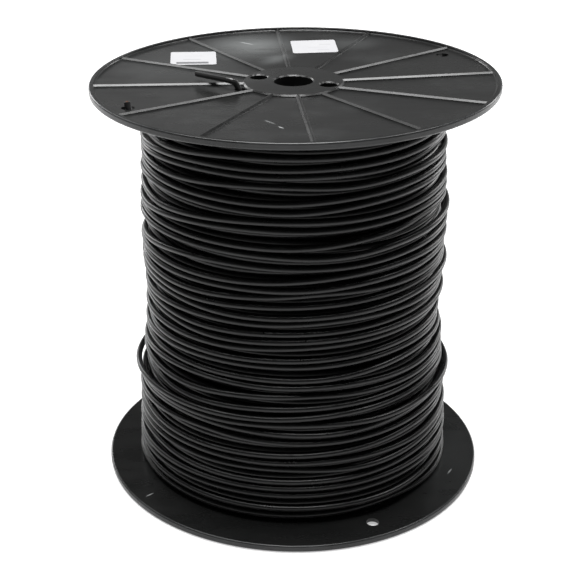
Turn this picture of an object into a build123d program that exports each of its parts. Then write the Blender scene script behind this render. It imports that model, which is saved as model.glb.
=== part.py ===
from build123d import *
import math
import os

# A moulded wire spool with its wire on it: two ribbed flanges on a hollow barrel, a level-wound pack
# of jacketed copper wire between them, the wire's start and finish ends, and two paper labels.
# Millimetres, +Z along the spool's axis, origin on the axis at the lower rim's resting face.

# ---- Spool: overall sizes ----
SPOOL_HEIGHT = 280.0          # over both rims
FLANGE_DIAMETER = 266.7       # ten and a half inches

# ---- Flange moulding, seen from outside ----
RIM_WIDTH = 3.2               # raised lip round the edge
RIM_STEP = 1.8                # lip's top above the web beside it
RIM_BEAD = 0.1                # lip's underside below the web
RIM_ROUNDING = 1.3            # outer edges
RIM_INNER_ROUNDING = 0.35     # lip's edge above the web
RIM_COVE = 1.1                # hollow between the web and the lip
WEB_THICKNESS = 2.8
DISH = 1.8                    # how much lower the web lies at the barrel's seat than at the rim
SEAT_MARGIN = 1.0             # flat seat's edge outside the barrel
HUB_DIAMETER = 66.0           # raised disc in the middle
HUB_CHAMFER = 1.0             # bevelled edge of that disc
RIB_COUNT = 12
RIB_WIDTH = 3.4               # at the web
RIB_TOP_WIDTH = 0.9           # ribs are flat-topped ridges with sloping flanks
RIB_FLANK = 1.0               # height of a flank
RIB_HEIGHT = 1.4              # ribs and hub disc above the web
RIB_ANGLE = 5.3               # first rib, from +X

# ---- Holes through the flange ----
ARBOR_DIAMETER = 25.4         # one inch shaft
ARBOR_CHAMFER = 0.8
DRIVE_HOLE_DIAMETER = 11.5
DRIVE_CIRCLE = 49.0           # pitch circle of the two drive holes
DRIVE_ANGLE = 158.2
DRIVE_CHAMFER = 0.8
DRIVE_RELIEF = 0.3            # room round a drive pin where it passes the spigot
RIM_HOLE_DIAMETER = 8.5       # holds the wire's finish end
RIM_HOLE_INSET = 15.85        # hole's centre in from the flange's edge
RIM_HOLE_ANGLE = 30.0
START_HOLE_DIAMETER = 7.4     # lets the wire's start end out beside the barrel
START_HOLE_OFFSET = 3.3       # hole's centre outside the barrel's wall
START_HOLE_ANGLE = 203.4

# ---- Inside of the hub ----
BOSS_WALL = 3.5               # collar round the arbor hole
BOSS_LENGTH = 14.0
SPIGOT_WALL = 3.0             # ring that the barrel slides onto
SPIGOT_LENGTH = 12.0
GUSSET_COUNT = 6
GUSSET_THICKNESS = 2.5
GUSSET_LENGTH = 10.0
KEY_COUNT = 3                 # keys turn the barrel with the flange
KEY_WIDTH = 7.6
KEY_LENGTH = 5.6

# ---- Barrel ----
BARREL_DIAMETER = 68.0
BARREL_WALL = 2.5
BARREL_FIT = 0.15             # radial clearance on the spigot
KEY_CLEARANCE = 0.2           # each side of a key
LOWER_FLANGE_TURN = 32.3      # the lower flange is the same moulding, turned over and by this much

# ---- Wire ----
WIRE_DIAMETER = 4.2
CONDUCTOR_DIAMETER = 2.05     # solid copper, 12 AWG
CORE_CLEARANCE = 0.05
PACK_CLEARANCE = 0.3          # pack to barrel and flanges
SURFACE_LAYERS = 3            # layers that can be seen between the outermost turns
LAYER_STEP = 3.8              # nested layers are a little closer than a diameter
LAYER_GAP = 0.2
# Outer radius of the pack at even steps from the lower flange to the upper one
PACK_RADII = (107.0, 107.8, 107.2, 102.6, 101.6, 103.2, 102.6, 100.8, 99.6)

# ---- Paper labels on the upper flange ----
LABEL_SIZE = 31.6
LABEL_CORNER = 2.0
LABEL_THICKNESS = 0.2
LABEL_LIFT = 0.06             # glue line
LABEL_TILT = 4.0              # both labels are stuck on at this turn from +X
LABEL_PLACES = {"inspection_label": (89.5, 140.6), "stock_label": (87.0, 80.4)}  # radius, angle

RIM_RADIUS = FLANGE_DIAMETER / 2
WEB_RADIUS = RIM_RADIUS - RIM_WIDTH
HUB_RADIUS = HUB_DIAMETER / 2
ARBOR_RADIUS = ARBOR_DIAMETER / 2
BARREL_RADIUS = BARREL_DIAMETER / 2
SEAT_RADIUS = BARREL_RADIUS + SEAT_MARGIN
RIM_HOLE_RADIUS = RIM_RADIUS - RIM_HOLE_INSET
START_HOLE_RADIUS = BARREL_RADIUS + START_HOLE_OFFSET
SPIGOT_RADIUS = BARREL_RADIUS - BARREL_WALL - BARREL_FIT
BOSS_RADIUS = ARBOR_RADIUS + BOSS_WALL
CORNER_SHARE = 0.45           # of the shorter run, used by each rounded corner of a wire's route


def web_depth(radius):
    """Depth of the web's outer face below the rim's top: it dishes from the rim to the barrel's flat seat."""
    return RIM_STEP + DISH * (WEB_RADIUS - max(radius, SEAT_RADIUS)) / (WEB_RADIUS - SEAT_RADIUS)


def inner_depth(radius):
    """Depth of the flange's inner face, which the wire lies against, below the rim's top."""
    return web_depth(radius) + WEB_THICKNESS


HUB_FLOOR = inner_depth(SEAT_RADIUS)             # inner face of the hub, where the barrel butts
HUB_TOP = web_depth(SEAT_RADIUS) - RIB_HEIGHT    # raised disc, flush with the ribs' inner ends
KEY_ANGLES = [DRIVE_ANGLE + 90 + n * 360 / KEY_COUNT for n in range(KEY_COUNT)]


def at(radius, angle):
    """Point at a radius and an angle in degrees from +X."""
    return (radius * math.cos(math.radians(angle)), radius * math.sin(math.radians(angle)))


# ---- One flange moulding, outer face up, its rim's top at Z = 0 ----
rib_inner_end = Vector(HUB_RADIUS - 1, 0, -web_depth(SEAT_RADIUS))
rib_outer_end = Vector(WEB_RADIUS + RIM_WIDTH / 2, 0, -web_depth(WEB_RADIUS))
rib_run = rib_outer_end - rib_inner_end

with BuildPart() as flange_rib:
    with BuildSketch(Plane(origin=rib_inner_end, x_dir=(0, 1, 0), z_dir=rib_run)):
        with BuildLine():
            Polyline(
                (-RIB_WIDTH / 2, -WEB_THICKNESS / 2),
                (RIB_WIDTH / 2, -WEB_THICKNESS / 2),
                (RIB_WIDTH / 2, RIB_HEIGHT - RIB_FLANK),
                (RIB_TOP_WIDTH / 2, RIB_HEIGHT),
                (-RIB_TOP_WIDTH / 2, RIB_HEIGHT),
                (-RIB_WIDTH / 2, RIB_HEIGHT - RIB_FLANK),
                close=True,
            )
        make_face()
    extrude(amount=rib_run.length)

with BuildPart() as flange_key:
    with BuildSketch(Plane.XY.offset(-HUB_FLOOR)):
        with Locations(((SPIGOT_RADIUS - SPIGOT_WALL / 2 + BARREL_RADIUS - BARREL_FIT) / 2, 0)):
            Rectangle(BARREL_RADIUS - BARREL_FIT - SPIGOT_RADIUS + SPIGOT_WALL / 2, KEY_WIDTH)
    extrude(amount=-KEY_LENGTH)

with BuildPart() as flange_gusset:
    with BuildSketch(Plane.XY.offset(-HUB_FLOOR)):
        with Locations(((BOSS_RADIUS + SPIGOT_RADIUS - SPIGOT_WALL) / 2, 0)):
            Rectangle(SPIGOT_RADIUS - BOSS_RADIUS - 1, GUSSET_THICKNESS)
    extrude(amount=-GUSSET_LENGTH)

with BuildPart() as flange:
    with BuildSketch(Plane.XZ):
        with BuildLine():
            Polyline(
                (ARBOR_RADIUS, -HUB_TOP),
                (HUB_RADIUS, -HUB_TOP),
                (HUB_RADIUS, -web_depth(SEAT_RADIUS)),
                (SEAT_RADIUS, -web_depth(SEAT_RADIUS)),
                (WEB_RADIUS, -web_depth(WEB_RADIUS)),
                (WEB_RADIUS, 0),
                (RIM_RADIUS, 0),
                (RIM_RADIUS, -inner_depth(WEB_RADIUS) - RIM_BEAD),
                (WEB_RADIUS, -inner_depth(WEB_RADIUS) - RIM_BEAD),
                (WEB_RADIUS, -inner_depth(WEB_RADIUS)),
                (SEAT_RADIUS, -HUB_FLOOR),
                (SPIGOT_RADIUS, -HUB_FLOOR),
                (SPIGOT_RADIUS, -HUB_FLOOR - SPIGOT_LENGTH),
                (SPIGOT_RADIUS - SPIGOT_WALL, -HUB_FLOOR - SPIGOT_LENGTH),
                (SPIGOT_RADIUS - SPIGOT_WALL, -HUB_FLOOR),
                (BOSS_RADIUS, -HUB_FLOOR),
                (BOSS_RADIUS, -HUB_FLOOR - BOSS_LENGTH),
                (ARBOR_RADIUS, -HUB_FLOOR - BOSS_LENGTH),
                close=True,
            )
        make_face()
    revolve(axis=Axis.Z)
    outer_edges = edges().filter_by(GeomType.CIRCLE).filter_by(lambda e: abs(e.radius - RIM_RADIUS) < 1e-3)
    fillet(outer_edges, radius=RIM_ROUNDING)
    lip_edges = edges().filter_by(GeomType.CIRCLE).filter_by(lambda e: abs(e.radius - WEB_RADIUS) < 1e-3)
    fillet(lip_edges.sort_by(Axis.Z)[-1], radius=RIM_INNER_ROUNDING)
    web_edges = edges().filter_by(GeomType.CIRCLE).filter_by(lambda e: abs(e.radius - WEB_RADIUS) < 1e-3)
    fillet(web_edges.sort_by(Axis.Z)[-2], radius=RIM_COVE)
    disc_edges = edges().filter_by(GeomType.CIRCLE).filter_by(lambda e: abs(e.radius - HUB_RADIUS) < 1e-3)
    chamfer(disc_edges.sort_by(Axis.Z)[-1], length=HUB_CHAMFER)
    with PolarLocations(0, RIB_COUNT, start_angle=RIB_ANGLE):
        add(flange_rib.part)
    with PolarLocations(0, GUSSET_COUNT, start_angle=DRIVE_ANGLE + 180 / GUSSET_COUNT):
        add(flange_gusset.part)
    with PolarLocations(0, KEY_COUNT, start_angle=KEY_ANGLES[0]):
        add(flange_key.part)
    arbor_edge = edges().filter_by(GeomType.CIRCLE).filter_by(lambda e: abs(e.radius - ARBOR_RADIUS) < 1e-3)
    chamfer(arbor_edge.sort_by(Axis.Z)[-1], length=ARBOR_CHAMFER)
    with BuildSketch(Plane.XY):
        with PolarLocations(DRIVE_CIRCLE / 2, 2, start_angle=DRIVE_ANGLE):
            Circle(DRIVE_HOLE_DIAMETER / 2)
        with PolarLocations(RIM_HOLE_RADIUS, 2, start_angle=RIM_HOLE_ANGLE):
            Circle(RIM_HOLE_DIAMETER / 2)
        with Locations(at(START_HOLE_RADIUS, START_HOLE_ANGLE)):
            Circle(START_HOLE_DIAMETER / 2)
    extrude(amount=-HUB_FLOOR, mode=Mode.SUBTRACT)
    with BuildSketch(Plane.XY.offset(-HUB_FLOOR)):
        with PolarLocations(DRIVE_CIRCLE / 2, 2, start_angle=DRIVE_ANGLE):
            Circle(DRIVE_HOLE_DIAMETER / 2 + DRIVE_RELIEF)
    extrude(amount=-SPIGOT_LENGTH, mode=Mode.SUBTRACT)
    with BuildSketch(Plane.XY.offset(-HUB_TOP)):
        with PolarLocations(DRIVE_CIRCLE / 2, 2, start_angle=DRIVE_ANGLE):
            Circle(DRIVE_HOLE_DIAMETER / 2 + DRIVE_CHAMFER)
    extrude(amount=-DRIVE_CHAMFER, taper=45, mode=Mode.SUBTRACT)

with BuildPart() as upper_flange:
    with Locations((0, 0, SPOOL_HEIGHT)):
        add(flange.part)

with BuildPart() as lower_flange:
    with Locations(Location((0, 0, 0), (180, 0, LOWER_FLANGE_TURN))):
        add(flange.part)

# ---- Barrel: a tube that butts on both hubs and is notched for their keys ----
with BuildPart() as barrel:
    with BuildSketch(Plane.XY.offset(HUB_FLOOR)):
        Circle(BARREL_RADIUS)
        Circle(BARREL_RADIUS - BARREL_WALL, mode=Mode.SUBTRACT)
    extrude(amount=SPOOL_HEIGHT - 2 * HUB_FLOOR)
    notch_size = (BARREL_WALL * 3, KEY_WIDTH + 2 * KEY_CLEARANCE, KEY_LENGTH + KEY_CLEARANCE)
    for angle in KEY_ANGLES:
        x, y = at(BARREL_RADIUS - BARREL_WALL / 2, angle)
        with Locations(Location((x, y, SPOOL_HEIGHT - HUB_FLOOR), (0, 0, angle))):
            Box(*notch_size, align=(Align.CENTER, Align.CENTER, Align.MAX), mode=Mode.SUBTRACT)
        lower_angle = -angle - LOWER_FLANGE_TURN
        x, y = at(BARREL_RADIUS - BARREL_WALL / 2, lower_angle)
        with Locations(Location((x, y, HUB_FLOOR), (0, 0, lower_angle))):
            Box(*notch_size, align=(Align.CENTER, Align.CENTER, Align.MIN), mode=Mode.SUBTRACT)

# ---- Ends of the wire: routes given as X, Y and height above the upper rim's top ----
PACK_TOP_AT_START = -inner_depth(START_HOLE_RADIUS) - PACK_CLEARANCE + 0.05
START_X, START_Y = at(START_HOLE_RADIUS, START_HOLE_ANGLE)
START_ROUTE = [
    (START_X, START_Y, PACK_TOP_AT_START),
    (START_X, START_Y, 0.3),
    (-40.0, -16.6, 2.9),
    (-48.2, -9.2, 2.6),
    (-56.0, -2.6, 2.2),
    (-63.0, 4.4, 1.6),
]
FINISH_X, FINISH_Y = at(RIM_HOLE_RADIUS, RIM_HOLE_ANGLE + 180)
FINISH_ROUTE = [
    (-45.6, -86.9, -9.0),
    (-63.1, -77.4, -9.6),
    (-82.0, -68.9, -9.2),
    (FINISH_X + 0.6, FINISH_Y - 0.3, -8.9),
    (FINISH_X - 0.5, FINISH_Y + 0.3, 1.9),
]


def lifted(route):
    """A route's points in the model's own frame."""
    return [Vector(x, y, SPOOL_HEIGHT + z) for x, y, z in route]


def corner_radii(points):
    """The largest even rounding that each corner's two runs leave room for."""
    radii = []
    for before, corner, after in zip(points, points[1:], points[2:]):
        turn = (corner - before).get_angle(after - corner)
        run = min((corner - before).length, (after - corner).length)
        radii.append(CORNER_SHARE * run / math.tan(math.radians(turn) / 2))
    return radii


start_points = lifted(START_ROUTE)
finish_points = lifted(FINISH_ROUTE)

with BuildPart() as start_tail_jacket:
    with BuildLine() as start_line:
        FilletPolyline(*start_points, radius=corner_radii(start_points))
    with BuildSketch(Plane(origin=start_line.line @ 0, z_dir=start_line.line % 0)):
        Circle(WIRE_DIAMETER / 2)
        Circle(CONDUCTOR_DIAMETER / 2 + CORE_CLEARANCE, mode=Mode.SUBTRACT)
    sweep()

with BuildPart() as start_tail_conductor:
    with BuildLine() as start_core_line:
        FilletPolyline(*start_points, radius=corner_radii(start_points))
    with BuildSketch(Plane(origin=start_core_line.line @ 0, z_dir=start_core_line.line % 0)):
        Circle(CONDUCTOR_DIAMETER / 2)
    sweep()

with BuildPart() as finish_tail_jacket:
    with BuildLine() as finish_line:
        FilletPolyline(*finish_points, radius=corner_radii(finish_points))
    with BuildSketch(Plane(origin=finish_line.line @ 0, z_dir=finish_line.line % 0)):
        Circle(WIRE_DIAMETER / 2)
        Circle(CONDUCTOR_DIAMETER / 2 + CORE_CLEARANCE, mode=Mode.SUBTRACT)
    sweep()

with BuildPart() as finish_tail_conductor:
    with BuildLine() as finish_core_line:
        FilletPolyline(*finish_points, radius=corner_radii(finish_points))
    with BuildSketch(Plane(origin=finish_core_line.line @ 0, z_dir=finish_core_line.line % 0)):
        Circle(CONDUCTOR_DIAMETER / 2)
    sweep()

# Room that the finish end takes where it leaves the pack's outer layers
with BuildPart() as finish_tail_room:
    with BuildLine() as finish_room_line:
        FilletPolyline(*finish_points, radius=corner_radii(finish_points))
    with BuildSketch(Plane(origin=finish_room_line.line @ 0, z_dir=finish_room_line.line % 0)):
        Circle(WIRE_DIAMETER / 2 + CORE_CLEARANCE)
    sweep()


# ---- Wire pack: the deep layers, and the layers that show between the outermost turns ----
def pack_bottom(radius):
    """Lower end of the pack at a radius, just clear of the lower flange."""
    return inner_depth(radius) + PACK_CLEARANCE


def pack_side(depth):
    """Outline of the pack's side, from the bottom up, at a depth below its outer surface."""
    low = pack_bottom(PACK_RADII[0] - depth)
    high = SPOOL_HEIGHT - pack_bottom(PACK_RADII[-1] - depth)
    steps = len(PACK_RADII) - 1
    return [(r - depth, low + (high - low) * n / steps) for n, r in enumerate(PACK_RADII)]


SURFACE_DEPTH = SURFACE_LAYERS * LAYER_STEP
surface_side = pack_side(0)
surface_back = pack_side(SURFACE_DEPTH)
deep_side = pack_side(SURFACE_DEPTH + LAYER_GAP)
core_radius = BARREL_RADIUS + PACK_CLEARANCE

with BuildPart() as wire_deep_layers:
    with BuildSketch(Plane.XZ):
        with BuildLine():
            Spline(*deep_side)
            Polyline(
                deep_side[-1],
                (core_radius, SPOOL_HEIGHT - pack_bottom(core_radius)),
                (core_radius, pack_bottom(core_radius)),
                deep_side[0],
            )
        make_face()
    revolve(axis=Axis.Z)

with BuildPart() as wire_surface_layers:
    with BuildSketch(Plane.XZ):
        with BuildLine():
            Spline(*surface_side)
            Line(surface_side[-1], surface_back[-1])
            Spline(*reversed(surface_back))
            Line(surface_back[0], surface_side[0])
        make_face()
    revolve(axis=Axis.Z)
    add(finish_tail_room.part, mode=Mode.SUBTRACT)

# ---- Labels, each lying on the dished web between two ribs ----
web_slope = math.degrees(math.atan(DISH / (WEB_RADIUS - SEAT_RADIUS)))
labels = {}
for label_name, (label_radius, label_angle) in LABEL_PLACES.items():
    x, y = at(label_radius, label_angle)
    normal = Vector(0, 0, 1).rotate(Axis.Y, -web_slope).rotate(Axis.Z, label_angle)
    lie = Plane(
        origin=(x, y, SPOOL_HEIGHT - web_depth(label_radius) + LABEL_LIFT),
        x_dir=Vector(1, 0, 0).rotate(Axis.Z, LABEL_TILT),
        z_dir=normal,
    )
    with BuildPart() as label:
        with BuildSketch(lie):
            RectangleRounded(LABEL_SIZE, LABEL_SIZE, LABEL_CORNER)
        extrude(amount=LABEL_THICKNESS)
    labels[label_name] = label

# ---- Labelled pieces, one STEP file each ----
os.makedirs("parts", exist_ok=True)
pieces = {
    "upper_flange": upper_flange,
    "lower_flange": lower_flange,
    "barrel": barrel,
    "wire_deep_layers": wire_deep_layers,
    "wire_surface_layers": wire_surface_layers,
    "start_tail_jacket": start_tail_jacket,
    "start_tail_conductor": start_tail_conductor,
    "finish_tail_jacket": finish_tail_jacket,
    "finish_tail_conductor": finish_tail_conductor,
    **labels,
}
for name, piece in pieces.items():
    piece.part.label = name
    export_step(piece.part, f"parts/{name}.step")

for name, line, points, core in (
    ("start", start_line, start_points, start_tail_conductor),
    ("finish", finish_line, finish_points, finish_tail_conductor),
):
    length = sum(edge.length for edge in line.edges())
    radii = ", ".join(f"{radius:.1f}" for radius in corner_radii(points))
    filled = core.part.volume / (length * math.pi * CONDUCTOR_DIAMETER**2 / 4)
    print(f"{name} tail: length {length:.1f} mm, corner radii {radii} mm")
    print(f"{name} conductor: volume over section times length {filled:.4f}")
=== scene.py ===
# %% [markdown]
# # A spool of black wire
#
# The real object is a moulded plastic spool: two ribbed round flanges on a hollow barrel, with a few hundred
# metres of black jacketed wire wound between them. The CAD model gives every size and place. Blender could
# rebuild it all, but then nothing would be sure to fit, so the CAD model is loaded as a fixed frame and this
# script adds only looks: the turns of wire, the wire's two ends, the finishes, the floor and the light.

import math

import bpy
import numpy as np
from mathutils import Matrix, Vector


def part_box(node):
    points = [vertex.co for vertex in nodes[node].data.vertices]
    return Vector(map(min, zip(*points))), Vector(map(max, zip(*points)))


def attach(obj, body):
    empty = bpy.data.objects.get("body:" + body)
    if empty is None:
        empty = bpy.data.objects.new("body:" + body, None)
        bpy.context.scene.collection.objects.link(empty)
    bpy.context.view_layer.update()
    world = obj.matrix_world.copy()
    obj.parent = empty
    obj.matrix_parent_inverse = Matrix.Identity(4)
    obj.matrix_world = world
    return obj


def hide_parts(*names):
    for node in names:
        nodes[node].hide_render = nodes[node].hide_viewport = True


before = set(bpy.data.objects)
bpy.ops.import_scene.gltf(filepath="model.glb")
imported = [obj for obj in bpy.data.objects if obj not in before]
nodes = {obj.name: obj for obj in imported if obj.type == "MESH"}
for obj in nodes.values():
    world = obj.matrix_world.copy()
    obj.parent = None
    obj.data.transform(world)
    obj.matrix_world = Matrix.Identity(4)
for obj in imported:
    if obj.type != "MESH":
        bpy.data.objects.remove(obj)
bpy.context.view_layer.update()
scene = bpy.context.scene

# %% [markdown]
# Places come from the frame. The upper flange's rim is the datum for whatever stands on that flange, and the
# wire pack's own CAD mesh says how far the winding bulges at each height.

# %% Sizes from the frame
MM = 0.001


def add(name, data):
    """A new object in the scene."""
    obj = bpy.data.objects.new(name, data)
    scene.collection.objects.link(obj)
    return obj


flange_low, flange_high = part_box("upper_flange")
RIM_TOP = flange_high.z
FLANGE_RADIUS = flange_high.x
BASE_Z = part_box("lower_flange")[0].z
pack_low, pack_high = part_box("wire_surface_layers")
SPOOL_CENTRE = Vector((0, 0, (RIM_TOP + BASE_Z) / 2))
WIRE_DIAMETER = 4.2 * MM
WIRE_RADIUS = WIRE_DIAMETER / 2
CONDUCTOR_DIAMETER = 2.05 * MM
print("flange radius", round(FLANGE_RADIUS, 4), "rim top", round(RIM_TOP, 4))
print("pack from", round(pack_low.z, 4), "to", round(pack_high.z, 4))

# %% [markdown]
# ## The camera
#
# A spool is best seen from a little above, so that the ribbed top and the side of the winding both show. The
# camera stands in front of the spool, 24 degrees up. It could simply be aimed at the centre, but here the
# view is taken as a part of a wider one, so the camera is turned a few degrees aside and its lens is shifted
# back. That keeps the slight lean of a view taken off its own centre.

# %% Camera
CAMERA_DISTANCE = 0.940
CAMERA_ELEVATION = math.radians(24.186)
CAMERA_TURN = math.radians(3.910)       # to the left, about the camera's own upright
CAMERA_TILT = math.radians(-2.192)
CAMERA_ROLL = math.radians(0.172)

camera_data = bpy.data.cameras.new("camera")
camera_data.sensor_width = 36
camera_data.lens = 83.5
camera_data.shift_x = 0.155
camera_data.shift_y = 0.060
camera = add("camera", camera_data)
scene.camera = camera
camera_place = SPOOL_CENTRE + CAMERA_DISTANCE * Vector(
    (0, -math.cos(CAMERA_ELEVATION), math.sin(CAMERA_ELEVATION))
)
camera.matrix_world = (
    Matrix.Translation(camera_place)
    @ Matrix.Rotation(math.pi / 2 - CAMERA_ELEVATION, 4, "X")
    @ Matrix.Rotation(CAMERA_TURN, 4, "Y")
    @ Matrix.Rotation(CAMERA_TILT, 4, "X")
    @ Matrix.Rotation(CAMERA_ROLL, 4, "Z")
)
print("camera at", [round(v, 3) for v in camera_place])

# %% [markdown]
# ## The wire's two ends
#
# The wire is one piece. Its start end comes up through a small hole beside the hub and lies over the flange;
# its finish end leaves the outermost turns and stands up in a hole near the rim. Each end is short, stiff and
# bent only once, so it is a smooth NURBS curve with a few given points, and a round bevel for the jacket.
# The points are X, Y and the height above the rim's top, in millimetres.

# %% Routes of the two ends
START_ROUTE = [
    (-34.232, -14.814, -6.6),
    (-36.0, -14.9, 0.5),
    (-40.0, -16.6, 2.9),
    (-48.2, -9.2, 2.6),
    (-56.0, -2.6, 2.2),
    (-63.0, 4.4, 1.6),
]
FINISH_ROUTE = [
    (-45.6, -86.9, -9.0),
    (-63.1, -77.4, -9.6),
    (-82.0, -68.9, -9.2),
    (-101.158, -59.05, -8.9),
    (-102.258, -58.45, 1.9),
]
START_LENGTH = 43.4 * MM
FINISH_LENGTH = 71.3 * MM


def in_frame(route):
    """A route's points in metres, in the frame."""
    return [Vector((x * MM, y * MM, RIM_TOP + z * MM)) for x, y, z in route]


def smooth_wire(name, points, radius):
    """A round wire on one smooth NURBS spline with these control points, its two ends closed."""
    curve = bpy.data.curves.new(name, "CURVE")
    curve.dimensions = "3D"
    spline = curve.splines.new("NURBS")
    spline.points.add(len(points) - 1)
    for control, point in zip(spline.points, points):
        control.co = (*point, 1)
    spline.order_u = 3
    spline.use_endpoint_u = True
    spline.resolution_u = 16
    curve.bevel_depth = radius
    curve.bevel_resolution = 6
    curve.use_fill_caps = True
    return add(name, curve)


# %% Start end and finish end
CORE_STANDS_OUT = 0.25 * MM     # how far the cut conductor stands out of the jacket

wire_ends = {}
cores = {}
for end, route in (("start", START_ROUTE), ("finish", FINISH_ROUTE)):
    points = in_frame(route)
    wire_ends[end] = smooth_wire(f"wire_{end}_end", points, WIRE_RADIUS)
    tip_direction = (points[-1] - points[-2]).normalized()
    core_points = [*points[:-1], points[-1] + tip_direction * CORE_STANDS_OUT]
    cores[end] = smooth_wire(f"wire_{end}_core", core_points, CONDUCTOR_DIAMETER / 2)
    print(end, "end:", len(points), "control points")

# %% [markdown]
# ## The winding
#
# The outside of a wound spool is what gives it its look: each turn rests on the turns below it, the pitch is
# uneven, strands drift into each other and part again, and here and there one is slack and stands off. A
# striped texture on a drum would fail at the silhouette and in close views, and rings would never cross, so
# every layer is one continuous strand.
#
# The strand's centreline is worked out in numpy. Its height follows a pitch that varies from turn to turn.
# Its radius follows from contact: where the strand crosses another one, the two centres are set one diameter
# apart. Geometry Nodes then turn each centreline into a round wire.

# %% Outline of the pack, read from its CAD mesh
CUTS_PER_TURN = 120
STEPS_UP = 54

pack_mesh = np.array([v.co for v in nodes["wire_surface_layers"].data.vertices], float)
pack_radius = np.hypot(pack_mesh[:, 0], pack_mesh[:, 1])
SKIN_DEPTH = 9.5 * MM           # only the mesh's outer skin is read
READING_HEIGHT = 6 * MM
outer = pack_radius > pack_radius.max() - SKIN_DEPTH
outline_z = np.linspace(pack_low.z, pack_high.z, STEPS_UP)
outline_r = np.array([
    pack_radius[outer & (abs(pack_mesh[:, 2] - z) < READING_HEIGHT)].max() for z in outline_z
])
kernel = np.array([1, 2, 3, 2, 1]) / 9
outline_r = np.convolve(np.pad(outline_r, 2, mode="edge"), kernel, mode="valid")
print("outline radius from", round(outline_r.min(), 4), "to", round(outline_r.max(), 4))


DEEP_STEP = 11.6 * MM           # depth of the hidden layers' surface below the pack's outline
END_GAP = 0.3 * MM              # between the pack's ends and the first and last turns
low_end = pack_low.z + WIRE_RADIUS + END_GAP
high_end = pack_high.z - WIRE_RADIUS - END_GAP
FOOT_SWELL = 3.0 * MM           # the lowest turns lie slack and spread outwards
FOOT_HEIGHT = 45 * MM


def pack_outline(z):
    """Outer radius of the winding at a height."""
    foot = np.clip(1 - (z - pack_low.z) / FOOT_HEIGHT, 0, 1)
    return np.interp(z, outline_z, outline_r) + FOOT_SWELL * foot


# %% Height of a strand along its turns
def smooth(values, width):
    """Running average with a soft window, its ends held."""
    window = np.hanning(2 * width + 1)
    return np.convolve(np.pad(values, width, mode="edge"), window / window.sum(), mode="valid")


def strand_heights(random, turns, start, end, steps, drift):
    """Height of each point of a strand: uneven steps from start to end, with a slow drift added.

    steps draws the relative climb of each third of a turn. drift is how far the strand strays, in metres.
    """
    thirds = turns * 3
    climb = np.concatenate([[0], np.cumsum(steps(random, thirds))])
    along = np.arange(turns * CUTS_PER_TURN + 1) / CUTS_PER_TURN
    height = smooth(np.interp(along * 3, np.arange(thirds + 1), climb / climb[-1]), CUTS_PER_TURN // 4)
    height = (height - height[0]) / (height[-1] - height[0])
    stray = np.zeros_like(along)
    for rate in (0.31, 0.57, 1.43, 2.38, 3.61):
        stray += np.sin(2 * np.pi * (rate * along + random.random())) / (1 + rate / 2)
    fade = np.clip(np.minimum(along, turns - along), 0, 1)
    return start + (end - start) * height + drift * stray * fade


# %% Radius of a strand, from contact with what is under it
def by_turns(values):
    """A strand's values as a table: one row for each turn, one column for each direction round the spool."""
    return values[: len(values) // CUTS_PER_TURN * CUTS_PER_TURN].reshape(-1, CUTS_PER_TURN)


def contact(height, under_radius, under_height):
    """Least radius at which a strand clears the strands under it, column by column."""
    gap = height[:, None, :] - under_height[None, :, :]
    rise = np.sqrt(np.clip(WIRE_DIAMETER**2 - gap**2, 0, None))
    return np.where(rise > 0, under_radius[None, :, :] + rise, 0).max(axis=1)


def settle(radius):
    """A taut strand bridges hollows: keep its high points, round off its dips."""
    reach = CUTS_PER_TURN // 24
    padded = np.pad(radius, reach, mode="edge")
    tops = np.max([padded[k : k + len(radius)] for k in range(2 * reach + 1)], axis=0)
    return smooth(tops, reach)


def rest_on(heights, under, radii_before=None, heights_before=None):
    """Radius at which each point of a strand rests on the strands under it and on its own earlier turns."""
    radii = pack_outline(heights) - DEEP_STEP + WIRE_RADIUS
    for under_radius, under_height in under:
        radii = np.maximum(radii, contact(heights, under_radius, under_height))
    for turn in range(1, len(radii)):
        near = slice(max(0, turn - 3), turn)
        earlier = (radii, heights) if radii_before is None else (radii_before, heights_before)
        touch = contact(heights[turn : turn + 1], earlier[0][near], earlier[1][near])
        radii[turn] = np.maximum(radii[turn], touch[0])
    return radii


# %% A strand slides off crests
PROBE = 0.3 * MM                # how far to each side the slope under a strand is felt
STEEPEST = 1.2                  # slopes are held to this
SLIDE = 0.22 * MM               # how far a strand slides in one round at a slope of 1
HOLD = 0.035                    # share of its stray that tension takes back in one round
ROUNDS = 30
STIFFNESS = CUTS_PER_TURN // 10 # over how many cuts the felt slope is averaged


def lay_strand(trend, under):
    """Lays a strand along a trend of heights. It slides down what it lies on, as far as tension lets it."""
    height = trend.copy()
    for _ in range(ROUNDS):
        heights = by_turns(height)
        radii = rest_on(heights, under)
        up = rest_on(heights + PROBE, under, radii, heights)
        down = rest_on(heights - PROBE, under, radii, heights)
        slope = np.clip((up - down) / (2 * PROBE), -STEEPEST, STEEPEST).ravel()
        slope = smooth(np.append(slope, slope[-1]), STIFFNESS)
        height = height - SLIDE * slope + HOLD * (trend - height)
        height = np.clip(height, low_end, high_end)
    heights = by_turns(height)
    radii = rest_on(heights, under)
    radius = settle(np.append(radii.ravel(), radii[-1, -1]))
    return radius, height


# %% [markdown]
# Three strands are laid, one on another, climbing in turn up and down as a winding machine does. The lowest
# is close wound. The other two are loose: their turns slide into the grooves of what is under them, then
# cross over to the next groove, which gives the fans of strands, the shallow crossings and the dark valleys.
# Last, a few turns of the top strand are let stand off, as turns do that were wound too slack.

# %% Lay the three strands
random = np.random.default_rng(7)


def close_steps(random, count):
    return random.uniform(0.85, 1.15, count)


def loose_steps(random, count):
    return np.repeat(random.uniform(0.75, 1.35, count // 3), 3) * random.uniform(0.85, 1.15, count)


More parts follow.
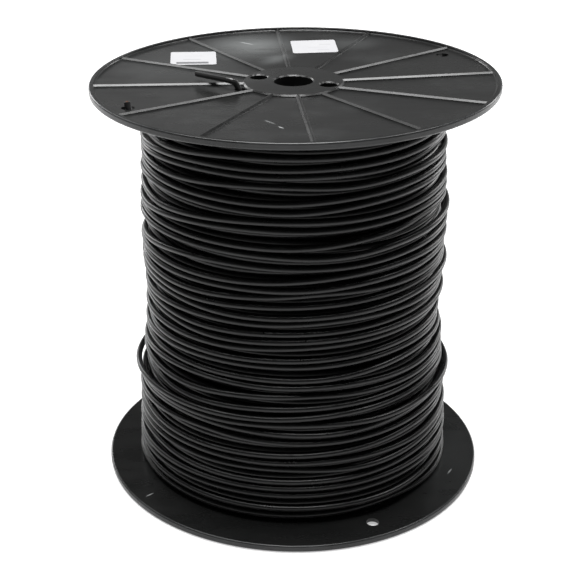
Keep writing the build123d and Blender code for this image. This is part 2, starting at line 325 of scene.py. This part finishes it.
SLACK_TURNS = (                 # height, direction round the spool in degrees, how far the turn stands off
    (83 * MM, 180, 4.2 * MM),
    (78 * MM, 0, 2.6 * MM),
    (196 * MM, 0, 2.2 * MM),
    (155 * MM, 0, 2.2 * MM),
    (137 * MM, 0, 2.2 * MM),
)


def slacken(radius, height):
    """Lets a few turns of the outermost strand stand off the winding over most of a turn."""
    half = CUTS_PER_TURN * 2 // 5
    for level, direction, size in SLACK_TURNS:
        column = CUTS_PER_TURN * direction // 360
        row = np.abs(by_turns(height)[:, column] - level).argmin()
        middle = row * CUTS_PER_TURN + column
        radius[middle - half : middle + half + 1] += size * np.hanning(2 * half + 1)


strands = {}
under = []
for name, turns, rising, steps, drift in (
    ("wire_low_turns", 54, True, close_steps, 0.15 * MM),
    ("wire_middle_turns", 47, False, loose_steps, 0.5 * MM),
    ("wire_top_turns", 40, True, loose_steps, 0.9 * MM),
):
    ends = (low_end, high_end) if rising else (high_end, low_end)
    trend = np.clip(strand_heights(random, turns, *ends, steps, drift), low_end, high_end)
    radius, height = lay_strand(trend, under)
    if name == "wire_top_turns":
        slacken(radius, height)
    under.append((by_turns(radius), by_turns(height)))
    strands[name] = (radius, height)
    print(name, turns, "turns, radius", round(radius.min() / MM, 1), "to", round(radius.max() / MM, 1), "mm")

# %% [markdown]
# A Geometry Nodes tree makes the round wire. It takes the centreline as a chain of mesh edges, makes a curve
# of it and sweeps a circle along it. The radius and the number of sides are named inputs. The evaluated
# result is kept as a plain mesh.

# %% Geometry Nodes tree for a round wire
SIDES = 12


def wire_tree(material):
    tree = bpy.data.node_groups.new("round_wire", "GeometryNodeTree")
    tree.interface.new_socket("Geometry", in_out="INPUT", socket_type="NodeSocketGeometry")
    tree.interface.new_socket("Wire radius", in_out="INPUT", socket_type="NodeSocketFloat")
    tree.interface.new_socket("Sides", in_out="INPUT", socket_type="NodeSocketInt")
    tree.interface.new_socket("Geometry", in_out="OUTPUT", socket_type="NodeSocketGeometry")
    node = tree.nodes.new
    link = tree.links.new
    inputs = node("NodeGroupInput")
    to_curve = node("GeometryNodeMeshToCurve")
    link(inputs.outputs["Geometry"], to_curve.inputs["Mesh"])
    circle = node("GeometryNodeCurvePrimitiveCircle")
    link(inputs.outputs["Wire radius"], circle.inputs["Radius"])
    link(inputs.outputs["Sides"], circle.inputs["Resolution"])
    sweep = node("GeometryNodeCurveToMesh")
    sweep.inputs["Fill Caps"].default_value = True
    link(to_curve.outputs["Curve"], sweep.inputs["Curve"])
    link(circle.outputs["Curve"], sweep.inputs["Profile Curve"])
    shade = node("GeometryNodeSetShadeSmooth")
    link(sweep.outputs["Mesh"], shade.inputs["Geometry"])
    realize = node("GeometryNodeRealizeInstances")
    link(shade.outputs["Geometry"], realize.inputs["Geometry"])
    finish = node("GeometryNodeSetMaterial")
    finish.inputs["Material"].default_value = material
    link(realize.outputs["Geometry"], finish.inputs["Geometry"])
    outputs = node("NodeGroupOutput")
    link(finish.outputs["Geometry"], outputs.inputs["Geometry"])
    return tree


def through_tree(obj, tree, values):
    """Runs a Geometry Nodes tree on obj with named inputs, and keeps the result as obj's plain mesh."""
    modifier = obj.modifiers.new("shape", "NODES")
    modifier.node_group = tree
    for item in tree.interface.items_tree:
        if item.in_out == "INPUT" and item.name in values:
            modifier[item.identifier] = values[item.name]
    evaluated = obj.evaluated_get(bpy.context.evaluated_depsgraph_get())
    mesh = bpy.data.meshes.new_from_object(evaluated)
    obj.modifiers.remove(modifier)
    obj.data = mesh
    return obj


# %% [markdown]
# ## Finishes
#
# Each finish is a Principled shader with a few procedural patterns on Object coordinates, so it stays
# fixed to the piece. The jacket is extruded polyethylene: near black, half glossy, with faint streaks along
# the wire and a little handling dust. The two free ends get a lighter copy of the same jacket, with a
# stronger
# specular: painted light, for the overhead light that falls on them while the winding under the flange is in
# shade.

# %% Helpers for materials
def new_material(name):
    material = bpy.data.materials.new(name)
    material.use_nodes = True
    shader = material.node_tree.nodes["Principled BSDF"]
    return material, material.node_tree, shader


def noise(tree, coordinates, scale, detail=3.0, roughness=0.5, stretch=None):
    """A noise pattern of the given scale on the given coordinates, stretched if asked."""
    texture = tree.nodes.new("ShaderNodeTexNoise")
    texture.inputs["Scale"].default_value = scale
    texture.inputs["Detail"].default_value = detail
    texture.inputs["Roughness"].default_value = roughness
    if stretch:
        mapping = tree.nodes.new("ShaderNodeMapping")
        mapping.inputs["Scale"].default_value = stretch
        tree.links.new(coordinates, mapping.inputs["Vector"])
        coordinates = mapping.outputs["Vector"]
    tree.links.new(coordinates, texture.inputs["Vector"])
    return texture.outputs["Fac"]


def spread(tree, value, low, high, to_low=0.0, to_high=1.0, soft=False):
    """Maps a value from the range low..high to to_low..to_high, held at both ends."""
    ranged = tree.nodes.new("ShaderNodeMapRange")
    ranged.interpolation_type = "SMOOTHSTEP" if soft else "LINEAR"
    ranged.inputs["From Min"].default_value = low
    ranged.inputs["From Max"].default_value = high
    ranged.inputs["To Min"].default_value = to_low
    ranged.inputs["To Max"].default_value = to_high
    tree.links.new(value, ranged.inputs["Value"])
    return ranged.outputs["Result"]


def blend_colours(tree, factor, first, second):
    """Mixes two colours, or the colour in a socket with a colour, by a factor."""
    mix = tree.nodes.new("ShaderNodeMix")
    mix.data_type = "RGBA"
    tree.links.new(factor, mix.inputs["Factor"])
    for socket, colour in ((mix.inputs["A"], first), (mix.inputs["B"], second)):
        if isinstance(colour, bpy.types.NodeSocket):
            tree.links.new(colour, socket)
        else:
            socket.default_value = (*colour, 1)
    return mix.outputs["Result"]


def bump(tree, shader, height, distance, strength=1.0):
    """Adds relief of the given depth, in metres, to a shader."""
    relief = tree.nodes.new("ShaderNodeBump")
    relief.inputs["Distance"].default_value = distance
    relief.inputs["Strength"].default_value = strength
    tree.links.new(height, relief.inputs["Height"])
    tree.links.new(relief.outputs["Normal"], shader.inputs["Normal"])


def math_node(tree, operation, first, second=None):
    """One arithmetic node on sockets or numbers."""
    node = tree.nodes.new("ShaderNodeMath")
    node.operation = operation
    for socket, value in zip(node.inputs, (first, second)):
        if isinstance(value, bpy.types.NodeSocket):
            tree.links.new(value, socket)
        elif value is not None:
            socket.default_value = value
    return node.outputs[0]


def object_coordinates(tree):
    return tree.nodes.new("ShaderNodeTexCoord").outputs["Object"]


# %% Jacket of the wire
def jacket_material(name, dark, light, specular):
    material, tree, shader = new_material(name)
    place = object_coordinates(tree)
    patches = noise(tree, place, 22, detail=2)
    streaks = noise(tree, place, 420, detail=3, roughness=0.65, stretch=(0.25, 0.25, 1.6))
    colour = blend_colours(tree, patches, dark, light)
    dusty_streaks = spread(tree, streaks, 0.55, 0.8)
    dusty_places = spread(tree, patches, 0.45, 0.7, 0.05, 0.4)
    dust = math_node(tree, "MULTIPLY", dusty_streaks, dusty_places)
    tree.links.new(blend_colours(tree, dust, colour, (0.035, 0.035, 0.033)), shader.inputs["Base Color"])
    rough = spread(tree, noise(tree, place, 60, detail=3), 0.3, 0.7, 0.26, 0.36)
    tree.links.new(rough, shader.inputs["Roughness"])
    shader.inputs["Specular IOR Level"].default_value = specular
    bump(tree, shader, streaks, 0.004 * MM)
    return material


jacket = jacket_material("wire_jacket", (0.0028, 0.0029, 0.0031), (0.0046, 0.0046, 0.0046), 0.3)
# Painted light: a lighter copy of the same jacket for the two ends, which lie in the overhead light.
lit_end_jacket = jacket_material("lit_end_wire_jacket", (0.012, 0.012, 0.0125), (0.019, 0.019, 0.0185), 0.5)
print("made", jacket.name, "and", lit_end_jacket.name)

# %% Round wires from the centrelines
tree = wire_tree(jacket)
for name, (radius, height) in strands.items():
    angle = 2 * np.pi * np.arange(len(height)) / CUTS_PER_TURN
    centreline = np.stack([radius * np.cos(angle), radius * np.sin(angle), height], axis=1)
    mesh = bpy.data.meshes.new(name)
    edges = [(k, k + 1) for k in range(len(centreline) - 1)]
    mesh.from_pydata(centreline.tolist(), edges, [])
    turns_piece = add(name, mesh)
    through_tree(turns_piece, tree, {"Wire radius": WIRE_RADIUS, "Sides": SIDES})
    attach(turns_piece, "root")
    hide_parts("wire_surface_layers")
    length = np.linalg.norm(np.diff(centreline, axis=0), axis=1).sum()
    print(name, "is", round(length, 1), "m of wire,", len(turns_piece.data.polygons), "faces")

copper_material, copper_tree, copper_shader = new_material("copper")
copper_shader.inputs["Base Color"].default_value = (0.20, 0.11, 0.075, 1)
copper_shader.inputs["Metallic"].default_value = 1
copper_shader.inputs["Roughness"].default_value = 0.55

for end, length in (("start", START_LENGTH), ("finish", FINISH_LENGTH)):
    route = START_ROUTE if end == "start" else FINISH_ROUTE
    wire, core = wire_ends[end], cores[end]
    # The ends take the lighter jacket copy: painted light, not a different finish.
    wire.data.materials.append(lit_end_jacket)
    core.data.materials.append(copper_material)
    for piece in (wire, core):
        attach(piece, "root")
    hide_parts(f"{end}_tail_jacket")
    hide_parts(f"{end}_tail_conductor")

# %% [markdown]
# The flanges are moulded polystyrene: black, satin, with the faint haze, smears and fine scratches of a spool
# that has been handled and stacked. One even black would look like a computer's, so the shader mixes
# patterns:
# haze from handling, swirls from the melt's flow outwards from the hub, and short scratches. Two more are
# painted light: lighter, smeared sheen patches where the web shows a reflection of the bright surroundings,
# and a painted highlight, a lighter line along the rim's outer edge.

# %% Moulded plastic of the flanges
def distance_from_axis(tree, place):
    """Distance of each point from the spool's axis, in metres."""
    parts = tree.nodes.new("ShaderNodeSeparateXYZ")
    tree.links.new(place, parts.inputs["Vector"])
    squares = [math_node(tree, "MULTIPLY", parts.outputs[axis], parts.outputs[axis]) for axis in "XY"]
    return math_node(tree, "SQRT", math_node(tree, "ADD", *squares))


def patch(tree, place, centre, size, turn=0.0, soft=1.0):
    """A soft-edged oval: 1 in its middle, 0 outside. size is its half-length and half-width in metres."""
    mapping = tree.nodes.new("ShaderNodeMapping")
    mapping.vector_type = "TEXTURE"
    mapping.inputs["Location"].default_value = centre
    mapping.inputs["Rotation"].default_value = (0, 0, turn)
    mapping.inputs["Scale"].default_value = (size[0], size[1], 1)
    tree.links.new(place, mapping.inputs["Vector"])
    length = tree.nodes.new("ShaderNodeVectorMath")
    length.operation = "LENGTH"
    flat = tree.nodes.new("ShaderNodeVectorMath")
    flat.operation = "MULTIPLY"
    flat.inputs[1].default_value = (1, 1, 0)
    tree.links.new(mapping.outputs["Vector"], flat.inputs[0])
    tree.links.new(flat.outputs["Vector"], length.inputs[0])
    return spread(tree, length.outputs["Value"], 1 - soft, 1, 1, 0, soft=True)


def flange_material(name, sheen_patches, scuffs, general_haze):
    material, tree, shader = new_material(name)
    place = object_coordinates(tree)
    from_axis = distance_from_axis(tree, place)
    cloud = noise(tree, place, 26, detail=4, roughness=0.6)
    smear = noise(tree, place, 70, detail=3, roughness=0.6, stretch=(0.35, 1.0, 1.0))
    grain = noise(tree, place, 2600, detail=2)

    colour = blend_colours(tree, cloud, (0.0062, 0.0064, 0.0064), (0.0095, 0.0098, 0.0096))
    haze_and_sheen = spread(tree, cloud, 0.5, 0.75, 0.0, general_haze)
    # Painted sheen: each patch lightens a smeared oval of the web where it shows a reflection of the bright
    # surroundings. The haze from handling above is the plastic's own.
    for centre, size, turn, strength in sheen_patches:
        oval = patch(tree, place, (*centre, 0), size, turn)
        painted_sheen = math_node(tree, "MULTIPLY", oval, spread(tree, smear, 0.3, 0.65, 0.55 * strength, strength))
        haze_and_sheen = math_node(tree, "ADD", haze_and_sheen, painted_sheen)
    colour = blend_colours(tree, haze_and_sheen, colour, (0.115, 0.12, 0.12))
    marks = 0.0
    for centre, size, turn in scuffs:
        line = patch(tree, place, (*centre, 0), size, turn, soft=0.6)
        broken = math_node(tree, "MULTIPLY", line, spread(tree, smear, 0.35, 0.6))
        marks = math_node(tree, "ADD", broken, marks)
    colour = blend_colours(tree, marks, colour, (0.30, 0.31, 0.31))
    # Painted highlight: a lighter band along the rim's outer top edge, broken up by the cloud pattern.
    rim_edge_band = spread(tree, from_axis, FLANGE_RADIUS - 1.9 * MM, FLANGE_RADIUS - 0.9 * MM, soft=True)
    painted_rim_highlight = math_node(tree, "MULTIPLY", rim_edge_band, spread(tree, cloud, 0.38, 0.62, 0.15, 0.8))
    colour = blend_colours(tree, painted_rim_highlight, colour, (0.026, 0.027, 0.028))
    tree.links.new(colour, shader.inputs["Base Color"])

    rough = spread(tree, smear, 0.3, 0.7, 0.24, 0.34)
    tree.links.new(rough, shader.inputs["Roughness"])
    shader.inputs["Specular IOR Level"].default_value = 0.4
    flow = noise(tree, place, 34, detail=2)
    relief = math_node(tree, "ADD", math_node(tree, "MULTIPLY", grain, 0.06), flow)
    bump(tree, shader, relief, 0.04 * MM)
    return material


upper_plastic = flange_material(
    "upper_flange_plastic",
    # Painted sheen on the upper web, mostly on its far half, for its reflection of the bright surroundings.
    sheen_patches=[
        ((-0.030, 0.088), (0.046, 0.044), 0.5, 0.95),
        ((-0.075, 0.040), (0.075, 0.075), 0.3, 0.18),
        ((-0.012, 0.056), (0.022, 0.012), 0.9, 0.5),
        ((0.040, 0.092), (0.030, 0.022), 0.2, 0.28),
        ((0.0, -0.112), (0.060, 0.014), 0.0, 0.05),
    ],
    scuffs=[
        ((-0.0137, -0.0865), (0.0062, 0.0011), -0.9),
        ((-0.0072, -0.0970), (0.0036, 0.0010), -0.93),
        ((-0.0335, 0.0955), (0.0080, 0.0008), -0.6),
    ],
    general_haze=0.08,
)
lower_plastic = flange_material(
    "lower_flange_plastic",
    # Painted sheen on the lower flange's right side, for its reflection of the surroundings beside the
    # winding.
    sheen_patches=[((0.115, -0.010), (0.045, 0.110), 0.0, 0.16)],
    scuffs=[((0.112, -0.040), (0.0050, 0.0008), 1.1), ((-0.098, -0.075), (0.0040, 0.0008), 0.7)],
    general_haze=0.0,
)

# %% [markdown]
# The barrel hardly shows, so it has a plain black finish. The labels are coated paper, and plain bars stand
# for the print. Each bar is a box-shaped mask on Object coordinates, which needs no image and stays put on
# the paper.

# %% Barrel and labels
def plastic_material(name, colour):
    material, tree, shader = new_material(name)
    place = object_coordinates(tree)
    cloud = noise(tree, place, 40, detail=3)
    lighter = [1.5 * part for part in colour]
    tree.links.new(blend_colours(tree, cloud, colour, lighter), shader.inputs["Base Color"])
    tree.links.new(spread(tree, cloud, 0.3, 0.7, 0.3, 0.42), shader.inputs["Roughness"])
    bump(tree, shader, noise(tree, place, 900, detail=2), 0.01 * MM)
    return material


barrel_plastic = plastic_material("barrel_plastic", (0.009, 0.009, 0.009))


def bar(tree, place, centre, size, turn):
    """A straight printed bar: 1 inside, 0 outside. size is its half-length and half-width in metres."""
    mapping = tree.nodes.new("ShaderNodeMapping")
    mapping.vector_type = "TEXTURE"
    mapping.inputs["Location"].default_value = (*centre, 0)
    mapping.inputs["Rotation"].default_value = (0, 0, turn)
    mapping.inputs["Scale"].default_value = (*size, 1)
    tree.links.new(place, mapping.inputs["Vector"])
    parts = tree.nodes.new("ShaderNodeSeparateXYZ")
    tree.links.new(mapping.outputs["Vector"], parts.inputs["Vector"])
    inside = [
        math_node(tree, "LESS_THAN", math_node(tree, "ABSOLUTE", parts.outputs[axis]), 1.0) for axis in "XY"
    ]
    return math_node(tree, "MULTIPLY", *inside)


def label_material(name, bars):
    """Coated paper with plain bars. Each has a centre, half its length and width, a turn and a strength."""
    material, tree, shader = new_material(name)
    place = object_coordinates(tree)
    ink = 0.0
    for centre, size, turn, strength in bars:
        printed = math_node(tree, "MULTIPLY", bar(tree, place, centre, size, turn), strength)
        ink = math_node(tree, "ADD", printed, ink)
    colour = blend_colours(tree, noise(tree, place, 60), (0.385, 0.385, 0.40), (0.425, 0.425, 0.43))
    tree.links.new(blend_colours(tree, ink, colour, (0.05, 0.05, 0.055)), shader.inputs["Base Color"])
    shader.inputs["Roughness"].default_value = 0.6
    return material


LABEL_TURN = math.radians(4)
left_label = label_material("inspection_label_paper", [
    ((-0.0690, 0.0455), (0.0110, 0.0022), LABEL_TURN, 0.80),
    ((-0.0700, 0.0535), (0.0060, 0.0009), LABEL_TURN, 0.22),
    ((-0.0695, 0.0620), (0.0060, 0.0007), LABEL_TURN, 0.08),
])
right_label = label_material("stock_label_paper", [
    ((0.0220, 0.0905), (0.0040, 0.0012), LABEL_TURN, 0.14),
    ((0.0170, 0.0835), (0.0070, 0.0007), LABEL_TURN, 0.10),
    ((0.0210, 0.0770), (0.0040, 0.0012), LABEL_TURN, 0.12),
])
for name, material in (
    ("upper_flange", upper_plastic),
    ("lower_flange", lower_plastic),
    ("barrel", barrel_plastic),
    ("wire_deep_layers", jacket),
    ("inspection_label", left_label),
    ("stock_label", right_label),
):
    nodes[name].data.materials.clear()
    nodes[name].data.materials.append(material)

# %% [markdown]
# ## Floor and light
#
# Black plastic shows almost nothing but what it reflects, so the light decides how it looks. The floor is so
# bright that it comes out white. The sky is dim overhead and brighter low down, which gives the flat web its
# sheen. A wide light overhead, with two more at its sides, shows in the ribs' sloping flanks as bright lines.

# %% Floor, backdrop and light
scene.view_settings.view_transform = "Standard"
world = bpy.data.worlds.new("studio")
scene.world = world
world.use_nodes = True
sky = world.node_tree
direction = sky.nodes.new("ShaderNodeTexCoord").outputs["Generated"]
parts = sky.nodes.new("ShaderNodeSeparateXYZ")
sky.links.new(direction, parts.inputs["Vector"])
brightness = spread(sky, parts.outputs["Z"], 0.16, 0.40, 0.37, 0.05, soft=True)
sky.nodes["Background"].inputs["Color"].default_value = (1, 1, 1, 1)
sky.links.new(brightness, sky.nodes["Background"].inputs["Strength"])

floor_mesh = bpy.data.meshes.new("floor")
FLOOR_REACH = 8.0
corners = [(x * FLOOR_REACH, y * FLOOR_REACH, 0) for x, y in ((-1, -1), (1, -1), (1, 1), (-1, 1))]
floor_mesh.from_pydata(corners, [], [(0, 1, 2, 3)])
floor = add("floor", floor_mesh)
floor_material, floor_tree, floor_shader = new_material("floor")
floor_shader.inputs["Base Color"].default_value = (0.66, 0.66, 0.66, 1)
floor_shader.inputs["Emission Color"].default_value = (1, 1, 1, 1)
floor_shader.inputs["Emission Strength"].default_value = 0.45
floor_shader.inputs["Roughness"].default_value = 0.9
floor.data.materials.append(floor_material)
floor.location.z = -0.3 * MM


def soft_light(name, place, size, power):
    """A rectangular light aimed at the middle of the spool."""
    data = bpy.data.lights.new(name, "AREA")
    data.shape = "RECTANGLE"
    data.size, data.size_y = size
    data.energy = power
    lamp = add(name, data)
    lamp.location = place
    lamp.rotation_euler = (SPOOL_CENTRE - Vector(place)).to_track_quat("-Z", "Y").to_euler()


soft_light("overhead", (0.0, -0.1, 2.8), (1.4, 1.4), 110)
soft_light("overhead_right", (1.38, 0.52, 2.42), (0.8, 0.8), 20)
soft_light("overhead_left", (-1.14, 0.26, 2.6), (0.8, 0.8), 20)
soft_light("high_left_behind", (-1.56, 1.37, 1.84), (0.8, 0.8), 5)
soft_light("back_left", (-0.35, 3.0, 0.95), (0.5, 0.25), 0.2)
soft_light("left_behind", (-1.3, 1.7, 0.75), (0.4, 0.8), 8)
soft_light("right_behind", (1.5, 1.4, 0.75), (0.4, 0.8), 8)
